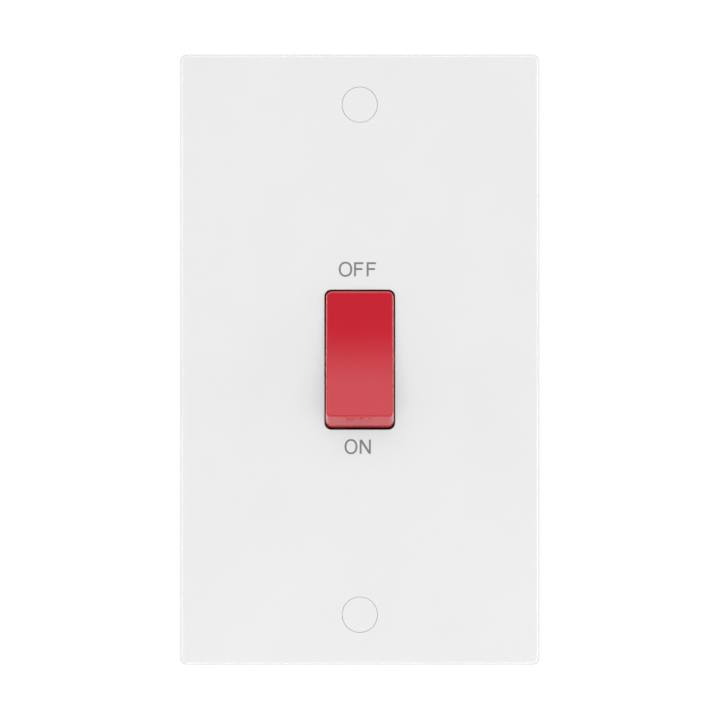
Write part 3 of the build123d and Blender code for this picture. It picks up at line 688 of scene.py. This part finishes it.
# Lights
def softbox(name, place, aim, width, height, power):
    """A white area light at a place, facing another."""
    data = bpy.data.lights.new(name, "AREA")
    data.shape = "RECTANGLE"
    data.size = width
    data.size_y = height
    data.energy = power
    light = link(bpy.data.objects.new(name, data))
    light.location = place
    light.rotation_euler = (aim - Vector(place)).to_track_quat("-Z", "Y").to_euler()


middle = Vector((0, 0, 0))
for name, side, share in (("side_left", -1, 1), ("side_right", 1, SIDE_RIGHT_SHARE)):
    softbox(name, (side * SIDE_X, SIDE_Y, SIDE_Z), middle, SIDE_WIDTH, SIDE_HEIGHT, SIDE_POWER * share)
softbox("low_front", LOW_PLACE, middle, LOW_WIDTH, LOW_HEIGHT, LOW_POWER)
for name, up in (("rim_top", 1), ("rim_bottom", -1)):
    edge = Vector((0, 0, up * cad_box[1][2]))
    place = edge + Vector((0, RIM_BEHIND, up * RIM_REACH))
    softbox(name, place, edge, RIM_LENGTH, RIM_WIDTH, RIM_POWER)


def graded(tree, value, low_at, high_at, low, high):
    """A smooth step between two strengths."""
    node = tree.nodes.new("ShaderNodeMapRange")
    node.interpolation_type = "SMOOTHSTEP"
    for name, number in (("From Min", low_at), ("From Max", high_at), ("To Min", low), ("To Max", high)):
        node.inputs[name].default_value = number
    tree.links.new(value, node.inputs["Value"])
    return node.outputs["Result"]


def mixed(tree, factor, low, high):
    """A mix of two strengths, each a socket or a number."""
    node = tree.nodes.new("ShaderNodeMix")
    tree.links.new(factor, node.inputs["Factor"])
    for name, value in (("A", low), ("B", high)):
        if isinstance(value, float):
            node.inputs[name].default_value = value
        else:
            tree.links.new(value, node.inputs[name])
    return node.outputs["Result"]


# World: light that depends on its direction, and a backdrop for the camera alone
world = bpy.data.worlds.new("studio")
scene.world = world
world.use_nodes = True
sky = world.node_tree
sky.nodes.clear()
path = sky.nodes.new("ShaderNodeLightPath")
direction = sky.nodes.new("ShaderNodeTexCoord")
axes = sky.nodes.new("ShaderNodeSeparateXYZ")
sky.links.new(direction.outputs["Generated"], axes.inputs["Vector"])
rise = graded(
    sky, axes.outputs["Z"], sin(radians(SKY_RISE_FROM)), sin(radians(SKY_RISE_TO)), SKY_LOW, SKY_HIGH
)
aside = sky.nodes.new("ShaderNodeMath")
aside.operation = "ABSOLUTE"
sky.links.new(axes.outputs["X"], aside.inputs[0])
wide = graded(sky, aside.outputs["Value"], SKY_WIDE_FROM, SKY_WIDE_TO, 0.0, 1.0)
front = graded(sky, axes.outputs["Y"], -cos(radians(FRONT_TO)), -cos(radians(FRONT_FROM)), 1.0, 0.0)
rear = graded(sky, axes.outputs["Y"], cos(radians(BEHIND_FROM)), cos(radians(BEHIND_TO)), AROUND, BEHIND)
strength = mixed(sky, front, rear, mixed(sky, wide, rise, SKY_ASIDE))
ambient = sky.nodes.new("ShaderNodeBackground")
ambient.inputs["Color"].default_value = (1, 1, 1, 1)
sky.links.new(strength, ambient.inputs["Strength"])
backdrop = sky.nodes.new("ShaderNodeBackground")
backdrop.inputs["Color"].default_value = (1, 1, 1, 1)
seen = graded(
    sky, axes.outputs["Y"], cos(radians(BACKDROP_FROM)), cos(radians(BACKDROP_TO)), BACKDROP_ASIDE, BACKDROP
)
sky.links.new(seen, backdrop.inputs["Strength"])
either = sky.nodes.new("ShaderNodeMixShader")
out = sky.nodes.new("ShaderNodeOutputWorld")
sky.links.new(path.outputs["Is Camera Ray"], either.inputs["Fac"])
sky.links.new(ambient.outputs["Background"], either.inputs[1])
sky.links.new(backdrop.outputs["Background"], either.inputs[2])
sky.links.new(either.outputs["Shader"], out.inputs["Surface"])

# Floor
floor_material, floor_tree, floor_shader, floor_where = graph("pale_floor")
floor_clouds = noise(floor_tree, floor_where, FLOOR_CLOUDS)
floor_colour = ramp(floor_tree, floor_clouds, *FLOOR_GREYS)
floor_tree.links.new(floor_colour, floor_shader.inputs["Base Color"])
floor_shader.inputs["Roughness"].default_value = FLOOR_ROUGHNESS
floor_mesh = bpy.data.meshes.new("floor")
floor_corners = [(x * FLOOR_REACH, y * FLOOR_REACH, FLOOR_Z) for x, y in ((-1, -1), (1, -1), (1, 1), (-1, 1))]
floor_mesh.from_pydata(floor_corners, [], [(0, 1, 2, 3)])
floor_mesh.materials.append(floor_material)
floor = link(bpy.data.objects.new("floor", floor_mesh))

scene.view_settings.view_transform = "Standard"
